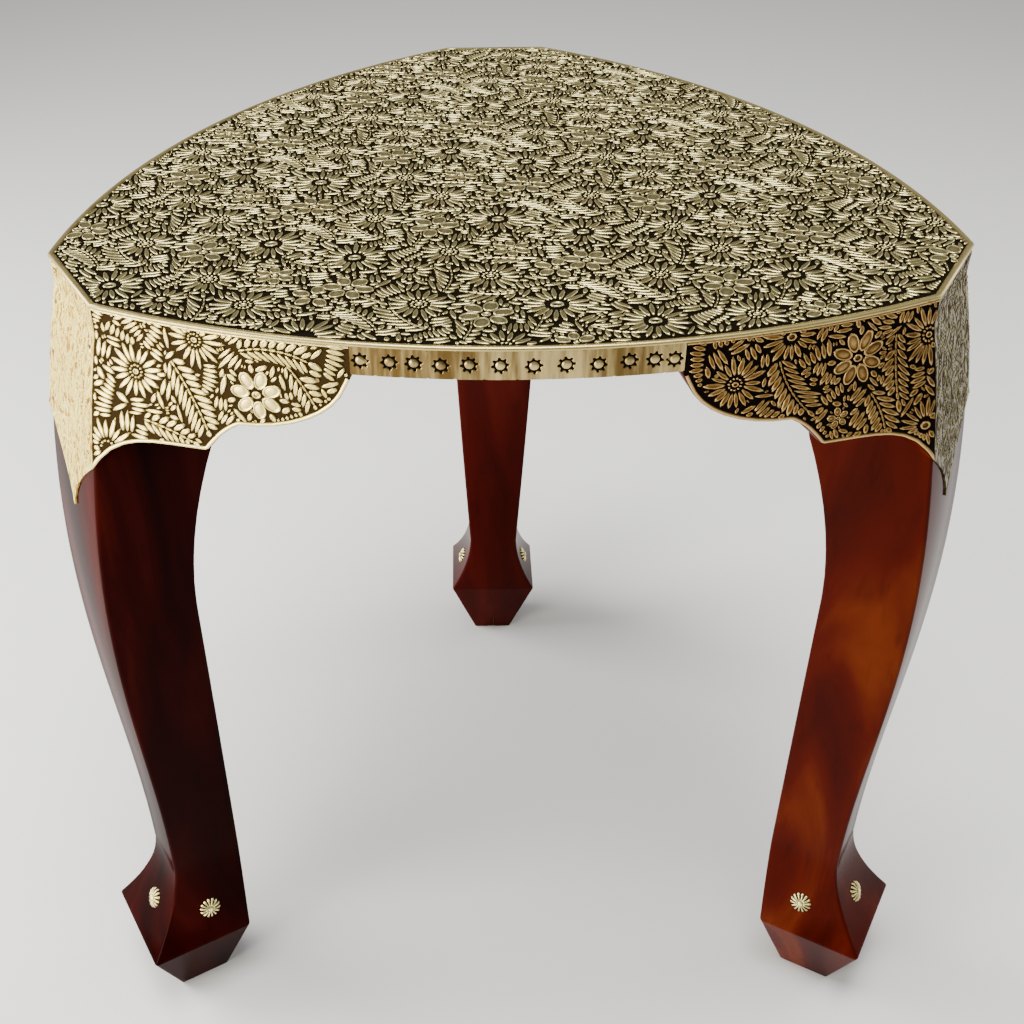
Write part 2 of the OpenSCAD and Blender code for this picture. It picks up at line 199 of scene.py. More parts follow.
# Brass: yellow brass, darkened all over and rubbed bright on whatever stands proud. The mesh
# attribute "relief" is 0 in the hollows and 1 on the crests, and sets how much patina is left.
def brass_material(name, bright, body, hollow, rough=0.34, wear=(0.1, 0.42), speck=0.0, streak=1.0,
                   patchy=0.35):
    """Pressed brass: black in the hollows, dull on the leaves' bodies, bright on their edges."""
    material = bpy.data.materials.new(name)
    material.use_nodes = True
    nodes = material.node_tree.nodes
    links = material.node_tree.links
    shader = nodes["Principled BSDF"]
    relief = nodes.new("ShaderNodeAttribute")
    relief.attribute_name = "relief"
    place = nodes.new("ShaderNodeTexCoord")
    squash = nodes.new("ShaderNodeMapping")
    squash.inputs["Scale"].default_value = (1.0, 1.0, streak)
    links.new(place.outputs["Object"], squash.inputs["Vector"])
    mottle = nodes.new("ShaderNodeTexNoise")
    mottle.inputs["Scale"].default_value = 45.0
    mottle.inputs["Detail"].default_value = 5.0
    links.new(squash.outputs["Vector"], mottle.inputs["Vector"])
    grime = nodes.new("ShaderNodeTexNoise")
    grime.inputs["Scale"].default_value = 420.0
    grime.inputs["Detail"].default_value = 3.0
    links.new(squash.outputs["Vector"], grime.inputs["Vector"])
    grime_push = nodes.new("ShaderNodeMath")
    grime_push.operation = "MULTIPLY_ADD"
    grime_push.inputs[1].default_value = 0.4 + speck
    grime_push.inputs[2].default_value = -0.2 - 0.62 * speck
    links.new(grime.outputs["Fac"], grime_push.inputs[0])
    level = nodes.new("ShaderNodeMath")
    level.operation = "ADD"
    links.new(relief.outputs["Fac"], level.inputs[0])
    links.new(grime_push.outputs["Value"], level.inputs[1])
    polish = nodes.new("ShaderNodeMath")
    polish.operation = "MULTIPLY_ADD"
    polish.inputs[1].default_value = patchy
    links.new(mottle.outputs["Fac"], polish.inputs[0])
    links.new(level.outputs["Value"], polish.inputs[2])
    polished = nodes.new("ShaderNodeMapRange")
    polished.interpolation_type = "SMOOTHSTEP"
    polished.inputs["From Min"].default_value = 0.5 + patchy / 2
    polished.inputs["From Max"].default_value = 1.0 + patchy / 2
    links.new(polish.outputs["Value"], polished.inputs["Value"])
    tint = nodes.new("ShaderNodeMix")
    tint.data_type = "RGBA"
    tint.inputs["A"].default_value = (*body, 1)
    tint.inputs["B"].default_value = (*bright, 1)
    links.new(polished.outputs["Result"], tint.inputs["Factor"])
    rubbed = nodes.new("ShaderNodeMapRange")
    rubbed.interpolation_type = "SMOOTHSTEP"
    rubbed.inputs["From Min"].default_value = wear[0]
    rubbed.inputs["From Max"].default_value = wear[1]
    links.new(level.outputs["Value"], rubbed.inputs["Value"])
    colour = nodes.new("ShaderNodeMix")
    colour.data_type = "RGBA"
    colour.inputs["A"].default_value = (*hollow, 1)
    links.new(rubbed.outputs["Result"], colour.inputs["Factor"])
    links.new(tint.outputs["Result"], colour.inputs["B"])
    links.new(colour.outputs["Result"], shader.inputs["Base Color"])
    links.new(rubbed.outputs["Result"], shader.inputs["Metallic"])
    dull = nodes.new("ShaderNodeMapRange")
    dull.inputs["To Min"].default_value = 0.8
    dull.inputs["To Max"].default_value = rough
    links.new(rubbed.outputs["Result"], dull.inputs["Value"])
    links.new(dull.outputs["Result"], shader.inputs["Roughness"])
    shader.inputs["Specular IOR Level"].default_value = 0.05
    hammer = nodes.new("ShaderNodeBump")
    hammer.inputs["Strength"].default_value = 0.25
    hammer.inputs["Distance"].default_value = 0.0002
    links.new(grime.outputs["Fac"], hammer.inputs["Height"])
    links.new(hammer.outputs["Normal"], shader.inputs["Normal"])
    return material


def plain_brass(name, bright, body, rough=0.3, hollow=(0.05, 0.035, 0.015)):
    """Brass without relief: the wear range is moved so that bare metal shows all over."""
    return brass_material(name, bright, body, hollow, rough, wear=(-0.24, 0.06))


top_brass = brass_material(
    "top_brass", (0.80, 0.70, 0.34), (0.24, 0.20, 0.085), (0.005, 0.003, 0.0006), 0.34, wear=(0.24, 0.66),
    patchy=0.3)


# The pressed pattern: flowers, ferns and loose leaves fill the sheet and never cross. A tray of
# small cells remembers what is taken, and can wrap round so that the pattern repeats like a roll's.
class Tray:
    """A sheet being filled with leaves. Lengths are in millimetres."""

    cell = 0.25

    def __init__(self, width, height, wraps, allowed=None):
        self.across = int(round(width / self.cell))
        self.up = int(round(height / self.cell))
        self.wraps = wraps
        self.owner = np.zeros((self.across, self.up), int)
        if allowed is not None:
            x, y = np.meshgrid(
                (np.arange(self.across) + 0.5) * self.cell,
                (np.arange(self.up) + 0.5) * self.cell, indexing="ij")
            self.owner[~allowed(x, y)] = -1
        self.marks = []

    def cells(self, x, y, turn, length, width, gap):
        """The cells under a leaf with its root at x, y, grown by a gap."""
        along = np.linspace(0, 1, max(3, int(length / self.cell * 1.3)))
        half = np.interp(along, [0, 0.08, 0.4, 0.8, 1], [0, 0.24, 0.5, 0.36, 0]) * width + gap
        rows = max(3, int((width + 2 * gap) / self.cell * 1.3))
        v = np.outer(half, np.linspace(-1, 1, rows)).ravel()
        u = np.repeat(along * (length + 2 * gap) - gap, rows)
        i = np.floor((x + u * math.cos(turn) - v * math.sin(turn)) / self.cell).astype(int)
        j = np.floor((y + u * math.sin(turn) + v * math.cos(turn)) / self.cell).astype(int)
        if self.wraps:
            return i % self.across, j % self.up, True
        inside = bool(i.min() >= 0 and j.min() >= 0 and i.max() < self.across and j.max() < self.up)
        return i, j, inside

    def leaf(self, x, y, turn, length, width, gap=0.2, kind="leaves", overlap=0.0):
        """Adds a leaf if there is room for it, or if no more than a share of its place is taken."""
        i, j, inside = self.cells(x, y, turn, length, width, gap)
        if not inside:
            return False
        shared = (self.owner[i, j] != 0).mean()
        if shared > overlap:
            return False
        self.marks.append([kind, x, y, turn, length, width, shared])
        i, j, inside = self.cells(x, y, turn, length, width, 0.0)
        own = self.owner[i, j]
        own[own == 0] = len(self.marks)
        self.owner[i, j] = own
        return True

    def swell(self, gap, widest):
        """Lets every leaf grow in small steps until only a thin gap is left round it."""
        for longer, wider in ((1.0, 1.14), (1.08, 1.0)) * 4:
            for number, mark in enumerate(self.marks):
                kind, x, y, turn, length, width, shared = mark
                if kind != "leaves" or width * wider > min(widest, 0.6 * length) or length < 1.6:
                    continue
                i, j, inside = self.cells(x, y, turn, length * longer, width * wider, gap)
                if not inside:
                    continue
                own = self.owner[i, j]
                if ((own != 0) & (own != number + 1)).mean() > shared + 0.004:
                    continue
                mark[4], mark[5] = length * longer, width * wider
                i, j, inside = self.cells(x, y, turn, mark[4], mark[5], 0.0)
                own = self.owner[i, j]
                own[own == 0] = number + 1
                self.owner[i, j] = own

    def places(self, kind):
        """The (x, y, turn, length, width) of every leaf of one kind."""
        return [mark[1:6] for mark in self.marks if mark[0] == kind]


def daisy(tray, draw, x, y, reach, petals, beaded):
    """A daisy: narrow outlined petals round a beaded or ringed eye."""
    turn = draw.uniform(0, math.tau)
    ring = reach * (0.12 if beaded else 0.2)
    tray.leaf(x - ring, y, 0, ring * 2, ring * 2, 0, kind="rings", overlap=1.0)
    eye = reach * 0.27
    if beaded:
        beads = 11
        size = math.tau * eye * 0.82 / beads * 0.8
        for k in range(beads):
            a = turn + math.tau * k / beads
            bead_x = x + eye * 0.82 * math.cos(a) - size / 2
            bead_y = y + eye * 0.82 * math.sin(a)
            tray.leaf(bead_x, bead_y, 0, size, size, 0, kind="beads", overlap=0.6)
    for k in range(petals):
        a = turn + math.tau * (k + draw.uniform(-0.1, 0.1)) / petals
        root = eye * draw.uniform(1.05, 1.2)
        length = (reach - root) * draw.uniform(0.85, 1.08)
        width = math.tau * reach * 0.62 / petals * draw.uniform(0.64, 0.76)
        tray.leaf(x + root * math.cos(a), y + root * math.sin(a), a, length, width, 0.08, overlap=0.2)


def blossom(tray, draw, x, y, reach, petals):
    """A larger flower: six to eight outlined oval petals round a ring."""
    eye = reach * 0.17
    turn = draw.uniform(0, math.tau)
    tray.leaf(x - eye, y, 0, eye * 2, eye * 2, 0, kind="rings", overlap=1.0)
    for k in range(petals):
        a = turn + math.tau * k / petals
        root = eye * 1.3
        length = (reach - root) * draw.uniform(0.92, 1.05)
        width = min(math.tau * reach * 0.64 / petals * 0.84, length * 0.72)
        tray.leaf(x + root * math.cos(a), y + root * math.sin(a), a, length, width, 0.05,
                  kind="ovals", overlap=0.2)
    for k in range(petals):
        a = turn + math.tau * (k + 0.5) / petals
        root = reach * 0.8
        tray.leaf(x + root * math.cos(a), y + root * math.sin(a), a, reach * 0.3, reach * 0.12, 0.1,
                  overlap=0.1)


def fern(tray, draw, x, y, turn, length, bend, long_side, short_side):
    """A curved frond: a thin stem, long fine leaflets on one side and short stout ones on the other."""
    pitch = 3.3
    count = int(length / pitch)
    for k in range(count):
        t = k / count
        step = turn + bend * t
        taper = math.sin(math.pi * (0.2 + 0.68 * t)) ** 0.6
        tray.leaf(x, y, step, pitch * 1.1, 0.8, 0.0, overlap=0.6)
        tray.leaf(x + 0.7 * math.cos(step + 1.2), y + 0.7 * math.sin(step + 1.2),
                  step + math.radians(40), long_side * taper, 1.6, 0.14, overlap=0.05)
        tray.leaf(x + 0.7 * math.cos(step - 1.2), y + 0.7 * math.sin(step - 1.2),
                  step - math.radians(52), short_side * taper, 2.0, 0.14, overlap=0.05)
        x += pitch * math.cos(step)
        y += pitch * math.sin(step)
    tray.leaf(x, y, turn + bend, 5.0, 2.0, 0.1, overlap=0.1)


def scatter(tray, draw, tries, sizes, width, height, gap=0.2, spread=6):
    """Fills what is left with short rows of leaflets that lie side by side."""
    for _ in range(tries):
        x = draw.uniform(0, width)
        y = draw.uniform(0, height)
        turn = draw.uniform(0, math.tau)
        length = draw.uniform(*sizes)
        breadth = min(length * 0.38, draw.uniform(1.25, 1.8))
        if not tray.leaf(x, y, turn, length, breadth, gap):
            continue
        for way in (-1, 1):
            for k in range(1, spread):
                off = way * k * (breadth + 0.5)
                a = turn + way * k * 0.09
                if not tray.leaf(x - off * math.sin(turn), y + off * math.cos(turn), a,
                                 length * (1 - 0.09 * k), breadth, gap):
                    break


def leaf_mesh(name, rings, sides):
    """A pressed shape from rings of (scale, height, relief) inside a leaf's or a round outline."""
    outline = [(0.0, 0.0), (0.08, 0.24), (0.4, 0.5), (0.8, 0.36), (1.0, 0.0),
               (0.8, -0.36), (0.4, -0.5), (0.08, -0.24)] if sides == 0 else [
        (0.5 - 0.5 * math.cos(math.tau * k / sides), 0.5 * math.sin(math.tau * k / sides))
        for k in range(sides)]
    count = len(outline)
    middle = 0.5
    points = [(middle + (px - middle) * scale, py * scale, height)
              for scale, height, _ in rings for px, py in outline]
    reliefs = [value for _, _, value in rings for _ in outline]
    faces = []
    for level in range(len(rings) - 1):
        for k in range(count):
            a = level * count + k
            b = level * count + (k + 1) % count
            faces.append((b, a, a + count, b + count))
    faces.append(tuple(reversed(range((len(rings) - 1) * count, len(rings) * count))))
    faces.append(tuple(range(count)))
    mesh = bpy.data.meshes.new(name)
    mesh.from_pydata(points, [], faces)
    mesh.attributes.new("relief", "FLOAT", "POINT").data.foreach_set("value", reliefs)
    mesh.polygons.foreach_set("use_smooth", [True] * len(faces))
    mesh.update()
    shape = bpy.data.objects.new(name, mesh)
    return shape


pressed_shapes = {
    "leaves": leaf_mesh("leaf_die", [(1.0, -0.08, 0.0), (0.84, 1.0, 1.0), (0.42, 0.72, 0.55)], 0),
    "ovals": leaf_mesh("oval_die", [(1.0, -0.08, 0.0), (0.93, 1.0, 1.0), (0.82, 1.0, 1.0), (0.72, 0.45, 0.3),
                                    (0.6, 0.6, 0.55), (0.25, 0.8, 0.7)], 12),
    "rings": leaf_mesh("ring_die", [(1.0, -0.08, 0.0), (0.92, 1.0, 1.0), (0.66, 1.0, 1.0), (0.5, 0.05, 0.0),
                                    (0.3, 0.4, 0.4)], 12),
    "beads": leaf_mesh("bead_die", [(1.0, -0.08, 0.0), (0.85, 0.7, 0.8), (0.4, 1.0, 1.0)], 8),
}


def press_tree(material):
    """Geometry Nodes: sets a die shape on each point by its turn and size, then fixes the metal."""
    tree = bpy.data.node_groups.new("press_leaves", "GeometryNodeTree")
    tree.interface.new_socket("Points", in_out="INPUT", socket_type="NodeSocketGeometry")
    tree.interface.new_socket("Die", in_out="INPUT", socket_type="NodeSocketObject")
    tree.interface.new_socket("Height", in_out="INPUT", socket_type="NodeSocketFloat")
    tree.interface.new_socket("Pressed", in_out="OUTPUT", socket_type="NodeSocketGeometry")
    nodes = tree.nodes
    links = tree.links
    given = nodes.new("NodeGroupInput")
    made = nodes.new("NodeGroupOutput")
    die = nodes.new("GeometryNodeObjectInfo")
    die.inputs["As Instance"].default_value = True
    links.new(given.outputs["Die"], die.inputs["Object"])
    values = {}
    for name in ("turn", "length", "width"):
        value = nodes.new("GeometryNodeInputNamedAttribute")
        value.data_type = "FLOAT"
        value.inputs["Name"].default_value = name
        values[name] = value
    size = nodes.new("ShaderNodeCombineXYZ")
    links.new(values["length"].outputs["Attribute"], size.inputs["X"])
    links.new(values["width"].outputs["Attribute"], size.inputs["Y"])
    links.new(given.outputs["Height"], size.inputs["Z"])
    turn = nodes.new("ShaderNodeCombineXYZ")
    links.new(values["turn"].outputs["Attribute"], turn.inputs["Z"])
    strike = nodes.new("GeometryNodeInstanceOnPoints")
    links.new(given.outputs["Points"], strike.inputs["Points"])
    links.new(die.outputs["Geometry"], strike.inputs["Instance"])
    links.new(turn.outputs["Vector"], strike.inputs["Rotation"])
    links.new(size.outputs["Vector"], strike.inputs["Scale"])
    realise = nodes.new("GeometryNodeRealizeInstances")
    links.new(strike.outputs["Instances"], realise.inputs["Geometry"])
    finish = nodes.new("GeometryNodeSetMaterial")
    finish.inputs["Material"].default_value = material
    links.new(realise.outputs["Geometry"], finish.inputs["Geometry"])
    links.new(finish.outputs["Geometry"], made.inputs["Pressed"])
    return tree


def set_input(modifier, name, value):
    """Sets a modifier's input by the identifier of the socket with this name."""
    for item in modifier.node_group.interface.items_tree:
        if item.name == name and item.in_out == "INPUT":
            modifier[item.identifier] = value


def strike_leaves(name, places, die, height, tree):
    """Runs the tree on a cloud of (x, y, turn, length, width) places and returns a plain mesh."""
    cloud = bpy.data.meshes.new(name + "_points")
    cloud.from_pydata([(p[0] * MM, p[1] * MM, 0) for p in places], [], [])
    for index, field in ((2, "turn"), (3, "length"), (4, "width")):
        factor = 1.0 if field == "turn" else MM
        values = [p[index] * factor for p in places]
        cloud.attributes.new(field, "FLOAT", "POINT").data.foreach_set("value", values)
    carrier = bpy.data.objects.new(name, cloud)
    bpy.context.scene.collection.objects.link(carrier)
    modifier = carrier.modifiers.new("press", "NODES")
    modifier.node_group = tree
    set_input(modifier, "Die", die)
    set_input(modifier, "Height", height * MM)
    pressed = bpy.data.meshes.new_from_object(
        carrier.evaluated_get(bpy.context.evaluated_depsgraph_get()))
    bpy.data.objects.remove(carrier)
    return pressed


def join_meshes(name, meshes, material):
    """Joins plain meshes that carry a relief attribute into one object with one material."""
    points, faces, reliefs = [], [], []
    for mesh in meshes:
        start = len(points)
        points += [tuple(v.co) for v in mesh.vertices]
        faces += [tuple(start + i for i in p.vertices) for p in mesh.polygons]
        reliefs += [d.value for d in mesh.attributes["relief"].data]
    return relief_object(name, points, faces, reliefs, material)


def relief_object(name, points, faces, reliefs, material):
    """A smooth mesh object with a relief value at each point."""
    mesh = bpy.data.meshes.new(name)
    mesh.from_pydata(points, [], faces)
    mesh.attributes.new("relief", "FLOAT", "POINT").data.foreach_set("value", reliefs)
    mesh.polygons.foreach_set("use_smooth", [True] * len(mesh.polygons))
    mesh.materials.append(material)
    mesh.update()
    piece = bpy.data.objects.new(name, mesh)
    bpy.context.scene.collection.objects.link(piece)
    return piece


# Top sheet: brass pressed by a roll whose pattern repeats every 104 by 90 mm. The sheet's own
# blackened face is the ground, and the leaves stand 1 mm proud of it.
roll_width = 104.0
roll_height = 90.0
roll_turn = math.radians(14)
leaf_height = 1.0
top_margin = 1.8
shortest_leaf = 1.2
leaves_a_piece = 4400
corner_width = 58.0
side_bow = 41.0

roll_draw = random.Random(7)
roll = Tray(roll_width, roll_height, True)
roll_daisies = [(16, 17, 14.5, 18, False), (57, 12, 13.5, 17, True), (87, 41, 15, 19, False),
                (33, 56, 13.5, 17, True), (68, 74, 14, 18, True), (36, 88, 11, 15, False)]
roll_blossoms = [(57, 40, 12, 6), (8, 78, 11.5, 6), (97, 74, 10, 5), (84, 8, 9, 6)]
roll_ferns = [(31, 34, 2.3, 30, -0.9, 11, 6.5), (43, 22, 0.9, 24, 0.8, 12, 6), (72, 22, 0.9, 26, 0.5, 11, 7),
              (45, 64, 0.9, 26, 0.7, 12, 6), (74, 56, 3.2, 22, -0.8, 11, 6), (18, 62, 2.4, 22, -0.7, 10, 6),
              (94, 20, 5.4, 24, 0.9, 11, 6), (12, 38, 1.7, 26, 0.6, 11, 6.5), (86, 86, 2.6, 20, 0.6, 10, 6)]
for x, y, reach, petals, beaded in roll_daisies:
    daisy(roll, roll_draw, x, y, reach, petals, beaded)
for x, y, reach, petals in roll_blossoms:
    blossom(roll, roll_draw, x, y, reach, petals)
for x, y, turn, length, bend, long_side, short_side in roll_ferns:
    fern(roll, roll_draw, x, y, turn, length, bend, long_side, short_side)
scatter(roll, roll_draw, 2500, (6.5, 11.5), roll_width, roll_height)
scatter(roll, roll_draw, 5000, (3.2, 6.0), roll_width, roll_height)
roll.swell(0.27, 2.2)
scatter(roll, roll_draw, 4000, (2.0, 3.2), roll_width, roll_height, spread=2)

half_corner = corner_width / 2
chord_half = corner_reach * math.sin(math.radians(60)) - half_corner / 2
chord_distance = corner_reach / 2 + half_corner * math.sin(math.radians(60))
side_middle = chord_distance + side_bow
side_radius = (chord_half ** 2 + side_bow ** 2) / (2 * side_bow)
side_half_angle = math.asin(chord_half / side_radius)
side_directions = {"right": 30, "left": 150, "front": 270}
leg_directions = {"back": 90, "left": 210, "right": 330}


def depth_inside(x, y):
    """How far a point lies inside the top's edge, in millimetres from the legs' centre."""
    depth = math.inf
    for degrees in side_directions.values():
        a = math.radians(degrees)
        cx = (side_middle - side_radius) * math.cos(a)
        cy = (side_middle - side_radius) * math.sin(a)
        depth = min(depth, side_radius - math.hypot(x - cx, y - cy))
    for degrees in leg_directions.values():
        a = math.radians(degrees)
        depth = min(depth, corner_reach - x * math.cos(a) - y * math.sin(a))
    return depth


def clip_leaf(leaf, inside):
    """Keeps the part of a leaf that lies inside the sheet's edge, or nothing."""
    x, y, turn, length, width = leaf
    steps = 10
    kept = [inside(x + length * k / steps * math.cos(turn), y + length * k / steps * math.sin(turn))
            for k in range(steps + 1)]
    if not any(kept):
        return None
    first, last = kept.index(True), steps - kept[::-1].index(True)
    left = length * (last - first) / steps
    if left < shortest_leaf:
        return None
    x += length * first / steps * math.cos(turn)
    y += length * first / steps * math.sin(turn)
    return x, y, turn, left, min(width, left * 0.8)


def inside_rim(x, y):
    """True inside the top's rim."""
    return depth_inside(x, y) > top_margin


def roll_out(places):
    """Repeats the roll's places over the whole top and cuts them off at the rim."""
    kept = []
    reach = 3
    for column in range(-reach, reach + 1):
        for row in range(-reach, reach + 1):
            for x, y, turn, length, width in places:
                px = x + column * roll_width
                py = y + row * roll_height
                gx = px * math.cos(roll_turn) - py * math.sin(roll_turn)
                gy = px * math.sin(roll_turn) + py * math.cos(roll_turn)
                leaf = clip_leaf((gx, gy, turn + roll_turn, length, width), inside_rim)
                if leaf:
                    kept.append(leaf)
    return kept


press = press_tree(top_brass)
sheet_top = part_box("top_sheet")[1].z
for kind, shape in pressed_shapes.items():
    rolled = roll_out(roll.places(kind))
    for first in range(0, len(rolled), leaves_a_piece):
        name = "top_" + kind + "_" + str(first // leaves_a_piece + 1)
        struck = strike_leaves(name, rolled[first:first + leaves_a_piece], shape, leaf_height, press)
        top_pressing = join_meshes(name, [struck], top_brass)
        top_pressing.data.transform(Matrix.Translation((0, legs_centre_y, sheet_top)))
        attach(top_pressing, "root")
dress("top_sheet", top_brass)


# Top rim: the edge of the top sheet, worked over into a plain soft bead that covers the joint
# between the top and the bands. It is rubbed bright.
rim_profile = [(0.2, -1.3, 0.3), (0.5, -0.7, 0.9), (0.5, -0.1, 1.0), (0.2, 0.4, 1.0), (-0.4, 0.65, 1.0),
               (-1.2, 0.65, 0.9), (-1.9, 0.45, 0.7), (-2.4, -0.05, 0.0)]
rim_steps = 60


def top_outline(grow):
    """The top's outline, moved outwards by a distance, as points round the legs' centre."""
    points = []
    for degrees in (270, 30, 150):
        a = math.radians(degrees)
        cx = (side_middle - side_radius) * math.cos(a)
        cy = (side_middle - side_radius) * math.sin(a)
        radius = side_radius + grow
        reach = corner_reach + grow
        along = a + math.radians(60)
        near = reach - cx * math.cos(along) - cy * math.sin(along)
        half = math.acos(near / radius)
        for k in range(rim_steps + 1):
            b = a + (math.radians(60) - half) * (2 * k / rim_steps - 1)
            points.append((cx + radius * math.cos(b), cy + radius * math.sin(b)))
    return points


rim_points, rim_reliefs, rim_faces = [], [], []
for grow, rise, value in rim_profile:
    for x, y in top_outline(grow + sheet_thickness):
        rim_points.append((x * MM, y * MM + legs_centre_y, sheet_top + rise * MM))
        rim_reliefs.append(value)
rim_count = len(rim_points) // len(rim_profile)
for level in range(len(rim_profile) - 1):
    for k in range(rim_count):
        a = level * rim_count + k
        b = level * rim_count + (k + 1) % rim_count
        rim_faces.append((a, b, b + rim_count, a + rim_count))
rim_brass = brass_material(
    "rim_brass", (0.64, 0.52, 0.21), (0.34, 0.26, 0.09), (0.01, 0.007, 0.003), 0.36, patchy=1.0)
top_rim = relief_object("top_rim", rim_points, rim_faces, rim_reliefs, rim_brass)
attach(top_rim, "root")


# Edge bands: plain brass strips round the edge of the board, stamped by hand with a row of
# bosses, each in a dark eight-pointed star.
star_outer = 3.5
star_inner = 2.55
star_points = 8
boss_radius = 1.9
star_samples = 48
band_height = (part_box("edge_band_front")[1].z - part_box("edge_band_front")[0].z) / MM
band_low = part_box("edge_band_front")[0].z / MM
ear_length = 114.0
band_length = 2 * side_half_angle * side_radius - 2 * ear_length
band_gaps = {
    "front": [11.5, 9.5, 10.5, 11, 12, 13, 12.5, 12.5, 12, 10, 8],
    "left": [12, 11, 10.5, 12.5, 11.5, 10, 12, 11.5, 12, 10.5, 11],
    "right": [10.5, 12, 11.5, 10, 12.5, 12, 11, 10.5, 12, 11.5, 11],
}
band_brass = brass_material(
    "band_brass", (0.60, 0.46, 0.20), (0.14, 0.085, 0.025), (0.003, 0.002, 0.001), 0.34, speck=0.3,
    streak=0.12, patchy=1.2)


def star_reach(angle):
    """The stamped star's edge: eight blunt points on a round body."""
    wave = math.cos(star_points * angle)
    return star_inner + (star_outer - star_inner) * max(0.0, min(1.0, wave * 1.6 + 0.35))


def stamp_cell(centre, left, right, turn, shift):
    """One stretch of band with a stamped boss: rings of points from the cell's edge to the middle."""
    middle = band_height / 2 + shift
    edge, plain, lip, foot, wall, crown, dome = [], [], [], [], [], [], []
    for k in range(star_samples):
        a = math.tau * k / star_samples
        dx, dy = math.cos(a), math.sin(a)
        reach_x = (right - centre if dx > 0 else centre - left) / max(abs(dx), 1e-9)
        reach_y = (band_height - middle if dy > 0 else middle) / max(abs(dy), 1e-9)
        reach = min(reach_x, reach_y)
        star = star_reach(a - turn)
        edge.append((centre + dx * reach, middle + dy * reach, 0.45, 0.75))
        plain.append((centre + dx * (star + 0.6), middle + dy * (star + 0.6), 0.45, 0.75))
        lip.append((centre + dx * (star + 0.2), middle + dy * (star + 0.2), 0.45, 0.8))
        foot.append((centre + dx * star, middle + dy * star, 0.06, 0.0))
        wall.append((centre + dx * (boss_radius + 0.15), middle + dy * (boss_radius + 0.15), 0.06, 0.0))
        crown.append((centre + dx * boss_radius * 0.9, middle + dy * boss_radius * 0.9, 0.6, 0.9))
        dome.append((centre + dx * boss_radius * 0.45, middle + dy * boss_radius * 0.45, 0.8, 0.9))
    rings = [edge, plain, lip, foot, wall, crown, dome]
    return rings


def bend_to_side(points, degrees):
    """Bends flat (along, up, lift) points round one bowed side of the top, in metres."""
    bent = []
    for along, up, lift in points:
        a = math.radians(degrees) + along / side_radius
        radius = side_radius + sheet_thickness + lift
        c = side_middle - side_radius
        x = c * math.cos(math.radians(degrees)) + radius * math.cos(a)
        y = c * math.sin(math.radians(degrees)) + radius * math.sin(a)
        bent.append((x * MM, y * MM + legs_centre_y, (band_low + up) * MM))
    return bent


band_draw = random.Random(3)
for side, degrees in side_directions.items():
    gaps = band_gaps[side]
    centres = [-sum(gaps) / 2]
    for gap in gaps:
        centres.append(centres[-1] + gap)
    cuts = [-band_length / 2] + [(a + b) / 2 for a, b in zip(centres, centres[1:])] + [band_length / 2]
    points, faces, reliefs = [], [], []
    for index, centre in enumerate(centres):
        rings = stamp_cell(centre, cuts[index], cuts[index + 1], band_draw.uniform(-0.2, 0.2),
                           band_draw.uniform(-0.5, 0.3))
        start = len(points)
        for ring in rings:
            points += [p[:3] for p in ring]
            reliefs += [p[3] for p in ring]
        for level in range(len(rings) - 1):
            for k in range(star_samples):
                a = start + level * star_samples + k
                b = start + level * star_samples + (k + 1) % star_samples
                faces.append((a, b, b + star_samples, a + star_samples))
        last = start + (len(rings) - 1) * star_samples
        faces.append(tuple(range(last, last + star_samples)))
    bent = bend_to_side(points, degrees)
    band_face = relief_object("band_face_" + side, bent, faces, reliefs, band_brass)
    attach(band_face, "root")
    dress("edge_band_" + side, plain_brass("band_edge_" + side, (0.5, 0.38, 0.18), (0.3, 0.2, 0.08)))


# Ear sheets: the same pressed brass, cut to the ears' lobed outline with a plain narrow border.
# The flowers sit in given places where the sheet was cut. Each sheet's tone holds painted light and
# shade: lit and bright on the left leg, dark as if in shade on the right leg.
top_height = sheet_top / MM
corner_drop = 74.0
arc_start = math.radians(60) - side_half_angle
ear_border = 2.1
ear_stations = 90
ear_levels = 30
overrun = 7.0


def ray_tree(mesh):
    """A tree of a CAD node's faces, to feel its surface with rays."""
    return BVHTree.FromPolygons(
        [v.co.copy() for v in mesh.vertices], [tuple(p.vertices) for p in mesh.polygons])


